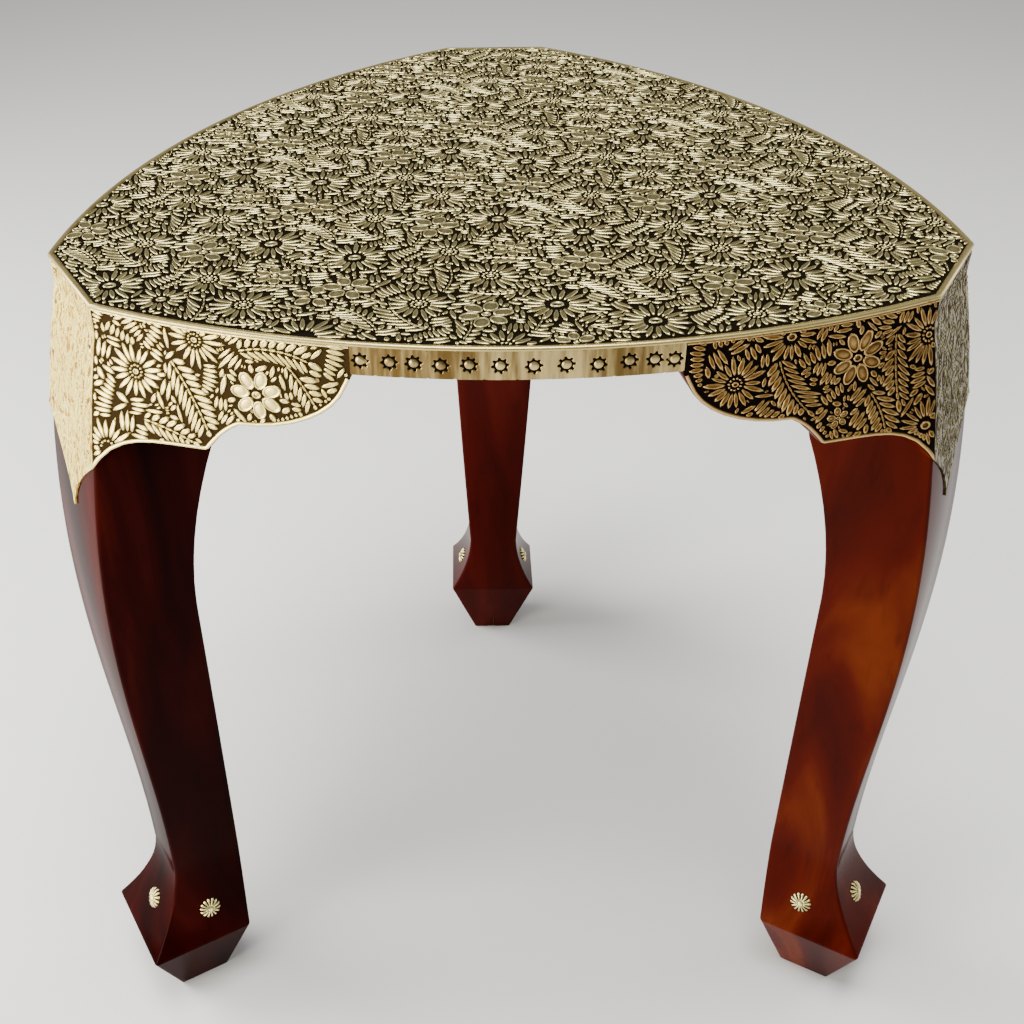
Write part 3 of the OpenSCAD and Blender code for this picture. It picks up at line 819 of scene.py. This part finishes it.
class EarFace:
    """The outer face of one CAD ear sheet, felt by rays. Flat places are (s, d): the distance from
    the corner and the depth below the top's face, in millimetres."""

    def __init__(self, node, leg, flip):
        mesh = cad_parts[node].data
        self.tree = ray_tree(mesh)
        self.turn = Matrix.Rotation(math.radians(leg_directions[leg]), 3, "Z")
        self.mirror = -1 if flip else 1
        self.levels = np.linspace(1.0, corner_drop - 0.8, ear_levels)
        self.starts = np.array([self.corner_edge(d) for d in self.levels])
        self.stations = np.linspace(self.starts[-1] + 0.1, ear_length - 0.6, ear_stations)
        self.depths = np.array([self.lower_edge(s) for s in self.stations])

    def aim(self, s, d):
        """A point on the plain arc behind the face, and the arc's outward direction there."""
        a = arc_start + s / side_radius
        reach = side_middle - side_radius
        flat = Vector((reach * math.cos(math.radians(60)) + side_radius * math.cos(a),
                       reach * math.sin(math.radians(60)) + side_radius * math.sin(a), 0))
        normal = Vector((math.cos(a), math.sin(a), 0))
        flat.y *= self.mirror
        normal.y *= self.mirror
        point = self.turn @ flat * MM + Vector((0, legs_centre_y, (top_height - d) * MM))
        return point, self.turn @ normal

    def feel(self, s, d):
        """The place on the face, or nothing where the sheet has ended."""
        point, normal = self.aim(s, d)
        return self.tree.ray_cast(point + normal * 0.05, -normal, 0.09)[0]

    def corner_edge(self, d):
        """The distance at which the sheet starts, which swells past the corner lower down."""
        s = -overrun
        while s < overrun and not self.feel(s, d):
            s += 0.1
        return s

    def lower_edge(self, s):
        """The depth at which the sheet ends."""
        d = corner_drop + 4.0
        while d > 5.0 and not self.feel(s, d):
            d -= 0.1
        return d

    def place(self, s, d, lift):
        """A point above the face by a lift; what runs over the sheet's edge is cut off there."""
        s = min(max(s, float(np.interp(d, self.levels, self.starts)) + 0.1), ear_length - 0.3)
        d = min(d, float(np.interp(s, self.stations, self.depths)) - 0.05)
        point, normal = self.aim(s, d)
        hit = self.tree.ray_cast(point + normal * 0.05, -normal, 0.09)[0]
        if hit is None:
            hit = self.tree.ray_cast(point + normal * 0.05 + Vector((0, 0, 0.0004)), -normal, 0.09)[0]
        if hit is None:
            hit = point + normal * sheet_thickness * MM
        return hit + normal * lift * MM

    def allowed(self, s, d):
        """True where a leaf's middle may lie: clear of the border all round."""
        around = (s - ear_border, s, s + ear_border)
        near = float(np.interp(around, self.stations, self.depths).min())
        start = float(np.interp(d, self.levels, self.starts))
        return start + 0.3 < s < ear_length - 1.2 and 1.0 < d < near - ear_border * 0.6

    def room(self, x, y):
        """True for the tray's cells on the sheet and a little way past its edge."""
        depth = np.interp(x - overrun, self.stations, self.depths)
        return y - overrun < depth + overrun * 0.7

    def edge_path(self):
        """The lower edge as flat places, a hair inside the sheet's end."""
        return [(float(s), float(d) - 0.15) for s, d in zip(self.stations, self.depths)]


def border_ribbon(path, width, rise):
    """A raised plain border along a flat path: points as (s, d, lift), faces and relief values."""
    points, faces, reliefs = [], [], []
    profile = [(0.0, 0.0, 0.35), (0.12, 1.0, 1.0), (0.75, 1.0, 0.95), (1.0, 0.0, 0.0)]
    for k, (s, d) in enumerate(path):
        s0, d0 = path[max(0, k - 1)]
        s1, d1 = path[min(len(path) - 1, k + 1)]
        size = math.hypot(s1 - s0, d1 - d0)
        ns, nd = (d1 - d0) / size, -(s1 - s0) / size
        for share, lift, value in profile:
            points.append((s + ns * share * width, d + nd * share * width, lift * rise))
            reliefs.append(value)
    for k in range(len(path) - 1):
        for j in range(3):
            a = k * 4 + j
            faces.append((a, a + 1, a + 5, a + 4))
    return points, faces, reliefs


ear_flowers = {
    "left_front": {
        "daisies": [(20, 25, 12, 17, True), (49, 6, 12, 18, True), (4, 62, 13, 20, True)],
        "blossoms": [(74, 27, 12, 7)],
        "ferns": [(37, 17, 1.0, 34, 0.3, 11, 8), (68, 8, -0.3, 30, 0.8, 9, 7), (22, 46, 0.2, 26, 0.3, 8, 6),
                  (88, 12, 0.9, 22, 0.3, 8, 6)]},
    "right_front": {
        "daisies": [(92, 22, 12, 18, True), (3, 16, 13, 20, True), (2, 56, 12, 20, False),
                    (70, 4, 11, 17, False)],
        "blossoms": [(38, 19, 12.5, 8), (44, 45, 5, 5)],
        "ferns": [(74, 14, 1.9, 32, 0.5, 11, 9), (30, 36, 2.2, 24, -0.5, 9, 7),
                  (20, 12, 1.6, 30, 0.2, 8, 6)]},
}
# Painted light and shade: the sheets on the left leg are painted lit and bright, the front one most, and
# those on the right leg painted dark as if in shade, the front one most; the two back sheets share one tone.
ear_tones_with_painted_light = {
    "left_front": ((1.0, 0.87, 0.34), (0.86, 0.64, 0.20), (0.035, 0.020, 0.005)),
    "right_front": ((0.56, 0.37, 0.14), (0.14, 0.064, 0.011), (0.003, 0.001, 0.0004)),
    "left_back": ((0.75, 0.63, 0.32), (0.42, 0.32, 0.14), (0.012, 0.008, 0.003)),
    "right_back": ((0.60, 0.48, 0.22), (0.33, 0.23, 0.09), (0.008, 0.005, 0.002)),
    "back_left": ((0.66, 0.55, 0.28), (0.38, 0.29, 0.12), (0.010, 0.007, 0.003)),
    "back_right": ((0.66, 0.55, 0.28), (0.38, 0.29, 0.12), (0.010, 0.007, 0.003)),
}
ear_leaf_height = 0.7
ear_gap = 0.1
widest_ear_leaf = 3.9
lower_border = 1.7
upper_border = 1.2
border_rise = 0.55
for number, name in enumerate(ear_tones_with_painted_light):
    leg = name.split("_")[0]
    flip = name in ("left_back", "right_front", "back_right")
    draw = random.Random(20 + number)
    face = EarFace("ear_sheet_" + name, leg, flip)
    across, down = ear_length + 2 * overrun, corner_drop + 2 * overrun
    tray = Tray(across, down, False, face.room)
    flowers = ear_flowers.get(name) or {
        "daisies": [(draw.uniform(16, 24), draw.uniform(22, 28), 12, 17, True),
                    (draw.uniform(88, 94), draw.uniform(16, 20), 12, 16, False),
                    (draw.uniform(4, 10), draw.uniform(56, 62), 12, 18, True)],
        "blossoms": [(draw.uniform(50, 58), draw.uniform(22, 27), 12.5, 7)],
        "ferns": [(74, 10, 1.6, 28, 0.3, 10, 8), (36, 16, 1.4, 28, -0.2, 10, 8),
                  (30, 8, 0.0, 30, 0.2, 8, 6)]}
    for x, y, reach, petals, beaded in flowers["daisies"]:
        daisy(tray, draw, x + overrun, y + overrun, reach, petals, beaded)
    for x, y, reach, petals in flowers["blossoms"]:
        blossom(tray, draw, x + overrun, y + overrun, reach, petals)
    for x, y, turn, length, bend, long_side, short_side in flowers["ferns"]:
        fern(tray, draw, x + overrun, y + overrun, turn, length, bend, long_side, short_side)
    scatter(tray, draw, 1500, (6.0, 10), across, down, gap=0.12)
    scatter(tray, draw, 3000, (3.2, 6.0), across, down, gap=0.12)
    tray.swell(ear_gap, widest_ear_leaf)
    scatter(tray, draw, 3000, (1.6, 3.4), across, down, gap=0.1, spread=3)
    # These tones carry the sheet's painted light and shade.
    bright, body, hollow = ear_tones_with_painted_light[name]
    ear_brass = brass_material("ear_brass_" + name, bright, body, hollow, 0.34)
    tree = press_tree(ear_brass)
    meshes = []
    for kind, shape in pressed_shapes.items():
        laid = [(x - overrun, y - overrun, *rest) for x, y, *rest in tray.places(kind)]
        leaves = [leaf for leaf in (clip_leaf(place, face.allowed) for place in laid) if leaf]
        if leaves:
            meshes.append(strike_leaves(name + "_" + kind, leaves, shape, ear_leaf_height, tree))
    piece = join_meshes("ear_pressing_" + name, meshes, ear_brass)
    for vertex in piece.data.vertices:
        s, d, lift = vertex.co / MM
        vertex.co = face.place(s, d, lift)
    if not flip:
        piece.data.flip_normals()
    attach(piece, "root")
    edge_points, edge_faces, edge_reliefs = [], [], []
    top_path = [(ear_length - 0.3 - (ear_length - 0.6) * k / 40, 1.0) for k in range(41)]
    for path, width in ((face.edge_path(), lower_border), (top_path, upper_border)):
        points, faces, reliefs = border_ribbon(path, width, border_rise)
        start = len(edge_points)
        edge_points += [tuple(face.place(*p)) for p in points]
        edge_faces += [tuple(start + i for i in f) for f in faces]
        edge_reliefs += reliefs
    border = relief_object("ear_border_" + name, edge_points, edge_faces, edge_reliefs, ear_brass)
    if flip:
        border.data.flip_normals()
    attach(border, "root")
    dress("ear_sheet_" + name, ear_brass)


# Corner strips: plainer brass over the clipped corners, chased all over with short dashes, and
# ending in a pointed tongue on the leg.
# Worn and stained brass with painted light: the left strip is painted bright as if lit, the right one dark
# as if in shade, and the back one in between.
strip_tones_with_painted_light = {
    "left": ((1.0, 0.93, 0.36), (0.92, 0.74, 0.18), (0.34, 0.16, 0.02)),
    "right": ((0.25, 0.205, 0.075), (0.13, 0.10, 0.035), (0.03, 0.02, 0.006)),
    "back": ((0.60, 0.50, 0.27), (0.36, 0.28, 0.13), (0.08, 0.05, 0.02)),
}
tongue_drop = 110.0
dash_height = 0.3
dash_field = 66.0
dash_edge = 2.0
dash_top = 3.0
for number, (leg, (bright, body, hollow)) in enumerate(strip_tones_with_painted_light.items()):
    strip_brass = brass_material("strip_brass_" + leg, bright, body, hollow, 0.38,
                                 wear=(-0.3, 0.02), speck=0.9, streak=0.45, patchy=1.5)
    dress("corner_strip_" + leg, strip_brass)
    draw = random.Random(40 + number)
    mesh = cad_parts["corner_strip_" + leg].data
    tree = ray_tree(mesh)
    turn = math.radians(leg_directions[leg])
    out = Vector((math.cos(turn), math.sin(turn), 0))
    across = Vector((-math.sin(turn), math.cos(turn), 0))
    centre = Vector((0, legs_centre_y, 0))

    def on_strip(t, d):
        start = centre + out * 0.27 + across * t * MM + Vector((0, 0, (top_height - d) * MM))
        return tree.ray_cast(start, -out, 0.08)[0]

    tray = Tray(dash_field, tongue_drop, False)
    scatter(tray, draw, 1500, (1.6, 3.6), dash_field, tongue_drop, gap=0.3, spread=3)
    dashes = [p for p in tray.places("leaves")
              if all(on_strip(p[0] - dash_field / 2 + du, p[1] + dv) is not None
                     for du in (-dash_edge, dash_edge) for dv in (-dash_edge, dash_edge))
              and p[1] > dash_top]
    dash_mesh = strike_leaves(
        "dashes_" + leg, dashes, pressed_shapes["leaves"], dash_height, press_tree(strip_brass))
    dash_piece = join_meshes("corner_dashes_" + leg, [dash_mesh], strip_brass)
    for vertex in dash_piece.data.vertices:
        t, d, lift = vertex.co / MM
        hit = on_strip(t - dash_field / 2, d)
        base = hit if hit is not None else centre + out * 0.2
        vertex.co = base + out * lift * MM
    dash_piece.data.flip_normals()
    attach(dash_piece, "root")


# Legs: sawn and carved from one piece each, bowed out at the knee and in at the ankle, with a
# flared foot that tapers to a small base. The edges are eased and the wood is lacquered.
leg_tones = {
    "left": ((0.004, 0.0002, 0.0001), (0.020, 0.0008, 0.0004), (0.050, 0.004, 0.002)),
    "right": ((0.020, 0.0010, 0.0002), (0.056, 0.0035, 0.0005), (0.100, 0.015, 0.002)),
    "back": ((0.018, 0.0010, 0.0004), (0.042, 0.002, 0.0008), (0.070, 0.005, 0.002)),
}
leg_gloss = {"left": 0.28, "right": 0.55, "back": 0.6}
edge_round = 1.8
round_steps = 4
leg_heights = [0, 0.5, 1.5, 12, 24, 36, 45, 47, 47.7, 48.3, 49, 51, 54] + list(range(58, 442, 5)) + [443.6]
wide_ray = 9.0


def leg_section(tree, out, across, centre, z):
    """The leg's outer and inner reach and half width at one height, felt on the CAD solid."""
    level = Vector((0, 0, z * MM))

    def feel(start, way):
        hit = tree.ray_cast(centre + level + start, way, 0.3)[0]
        return hit - centre - level if hit is not None else None

    outer = feel(out * 0.3 + across * wide_ray * MM, -out)
    inner = feel(out * 0.1 + across * wide_ray * MM, out)
    outer_reach = outer.dot(out)
    inner_reach = inner.dot(out)
    side = feel(out * (inner_reach + 0.25 * (outer_reach - inner_reach)) + across * 0.1, -across)
    return outer_reach / MM, inner_reach / MM, side.dot(across) / MM


def rounded_section(outer, inner, half, radius):
    """A rectangle with eased corners, as (reach, across) pairs, anticlockwise from outside."""
    points = []
    for cx, cy, start in ((outer, half, 0), (inner, half, 90), (inner, -half, 180), (outer, -half, 270)):
        sx = -1 if cx == outer else 1
        sy = -1 if cy > 0 else 1
        for k in range(round_steps + 1):
            a = math.radians(start + 90 * k / round_steps)
            points.append((cx + radius * (sx + math.cos(a)), cy + radius * (sy + math.sin(a))))
    return points


for leg, degrees in leg_directions.items():
    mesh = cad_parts["leg_" + leg].data
    tree = ray_tree(mesh)
    turn = math.radians(degrees)
    out = Vector((math.cos(turn), math.sin(turn), 0))
    across = Vector((-math.sin(turn), math.cos(turn), 0))
    centre = Vector((0, legs_centre_y, 0))
    points, faces = [], []
    for z in leg_heights:
        outer, inner, half = leg_section(tree, out, across, centre, min(max(z, 0.2), 443.4))
        base_ease = 0.6 if z == 0 else 0.0
        section = rounded_section(outer - base_ease, inner + base_ease, half - base_ease, edge_round)
        for reach, side in section:
            points.append(centre + out * reach * MM + across * side * MM + Vector((0, 0, z * MM)))
    ring = len(points) // len(leg_heights)
    for level in range(len(leg_heights) - 1):
        for k in range(ring):
            a = level * ring + k
            b = level * ring + (k + 1) % ring
            faces.append((a, b, b + ring, a + ring))
    faces.append(tuple(reversed(range(ring))))
    faces.append(tuple(range(len(points) - ring, len(points))))
    leg_mesh = bpy.data.meshes.new("carved_leg_" + leg)
    leg_mesh.from_pydata([tuple(p) for p in points], [], faces)
    leg_mesh.polygons.foreach_set("use_smooth", [True] * len(faces))
    leg_mesh.set_sharp_from_angle(angle=math.radians(50))
    dark, light, figure = leg_tones[leg]
    leg_mesh.materials.append(wood_material(
        "leg_wood_" + leg, dark, light, figure, leg_gloss[leg], (24, 24, 5), 0.3))
    leg_mesh.update()
    carved_leg = bpy.data.objects.new("carved_leg_" + leg, leg_mesh)
    bpy.context.scene.collection.objects.link(carved_leg)
    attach(carved_leg, "root")
    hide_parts("leg_" + leg)


# Ears: thick wooden brackets glued and dowelled to the legs' sides and screwed to the board.
# Only their lower edges and backs show. Each is stained with its own leg.
for leg, (dark, light, figure) in leg_tones.items():
    ear_wood = wood_material("ear_wood_" + leg, dark, light, figure, 0.2, (40, 40, 12), 0.4)
    for name in ear_tones_with_painted_light:
        if name.startswith(leg):
            dress("ear_" + name, ear_wood)


# Foot studs: flower-headed brass nails, three on each foot. Fourteen flutes run out from a small
# round boss to a scalloped edge.
flutes = 14
stud_radius = 6.3
stud_rise = 3.4
stud_sunk = -0.2
stud_brass = brass_material(
    "stud_brass", (0.86, 0.76, 0.36), (0.55, 0.43, 0.16), (0.004, 0.002, 0.001), 0.3, wear=(0.15, 0.55))
stud_samples = flutes * 8
stud_levels = [0.0, 0.12, 0.2, 0.26, 0.32, 0.45, 0.6, 0.75, 0.88, 1.0]


def stud_shape():
    """A fluted dome on the XY plane: points in millimetres, faces and relief values."""
    points, reliefs, faces = [], [], []
    for level in stud_levels:
        for k in range(stud_samples):
            a = math.tau * k / stud_samples
            groove = abs(math.cos(flutes * a / 2)) ** 0.8
            reach = level * stud_radius
            open_share = max(0.0, min(1.0, (level - 0.26) / 0.2))
            if level == 1.0:
                reach *= 0.9 + 0.1 * groove
            rise = stud_rise * math.sqrt(max(0.0, 1 - (level * 0.96) ** 2))
            rise *= 0.72 if level > 0.22 else 0.86
            rise -= 1.3 * (1 - groove) * open_share
            if 0.2 < level < 0.3:
                rise -= 0.35
            value = 1 - 1.9 * (1 - groove) * open_share
            if 0.2 < level < 0.3:
                value = 0.15
            height = max(rise, stud_sunk) if level < 1 else stud_sunk
            points.append((reach * math.cos(a), reach * math.sin(a), height))
            reliefs.append(value if level < 1 else 0.6 * value)
    for level in range(len(stud_levels) - 1):
        for k in range(stud_samples):
            a = level * stud_samples + k
            b = level * stud_samples + (k + 1) % stud_samples
            faces.append((a, a + stud_samples, b + stud_samples, b))
    return points, faces, reliefs


def stud_seats():
    """Places and directions of the studs, from the heads' own CAD solids."""
    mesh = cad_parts["foot_studs"].data
    work = bmesh.new()
    work.from_mesh(mesh)
    bmesh.ops.remove_doubles(work, verts=work.verts, dist=1e-6)
    loose = set(work.verts)
    seats = []
    while loose:
        group = {loose.pop()}
        grow = list(group)
        while grow:
            for edge in grow.pop().link_edges:
                for vertex in edge.verts:
                    if vertex in loose:
                        loose.remove(vertex)
                        group.add(vertex)
                        grow.append(vertex)
        places = sorted((v.co.copy() for v in group), key=tuple)
        middle = sum(places, Vector()) / len(places)
        tip = max(places, key=lambda p: (p - middle).length)
        crown = max(places, key=lambda p: (p - tip).length)
        rim = [p for p in places if (p - tip).length > 0.6 * (crown - tip).length]
        hub = sum(rim, Vector()) / len(rim)
        way = (hub - tip).normalized()
        seat = max(p.dot(way) for p in places) - stud_rise * MM
        seats.append((hub + way * (seat - hub.dot(way)), way))
    work.free()
    return sorted(seats, key=lambda seat: tuple(seat[0]))


stud_points, stud_faces, stud_reliefs = stud_shape()
all_points, all_faces, all_reliefs = [], [], []
for seat, way in stud_seats():
    turn = way.to_track_quat("Z", "X").to_matrix().to_4x4()
    start = len(all_points)
    all_points += [tuple(seat + turn @ (Vector(p) * MM)) for p in stud_points]
    all_faces += [tuple(start + i for i in f) for f in stud_faces]
    all_reliefs += stud_reliefs
flower_studs = relief_object("flower_studs", all_points, all_faces, all_reliefs, stud_brass)
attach(flower_studs, "root")
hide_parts("foot_studs")


# Small fixings: brass pins through the sheets, zinc screws under the top sheet, and dowels inside
# the joints between legs and ears.
pin_brass = plain_brass("pin_brass", (0.42, 0.32, 0.14), (0.26, 0.18, 0.07), 0.4)
for node in ("ear_pins", "corner_pins", "band_pins"):
    dress(node, pin_brass)
screw_zinc = plain_brass("screw_zinc", (0.55, 0.56, 0.56), (0.48, 0.49, 0.50), 0.32, (0.2, 0.2, 0.2))
for node in ("leg_screws", "ear_screws"):
    dress(node, screw_zinc)
dowel_wood = wood_material(
    "dowel_wood", (0.38, 0.24, 0.12), (0.56, 0.38, 0.2), (0.62, 0.44, 0.25), 0.0, (120, 120, 30), 0.55)
dress("ear_dowels", dowel_wood)
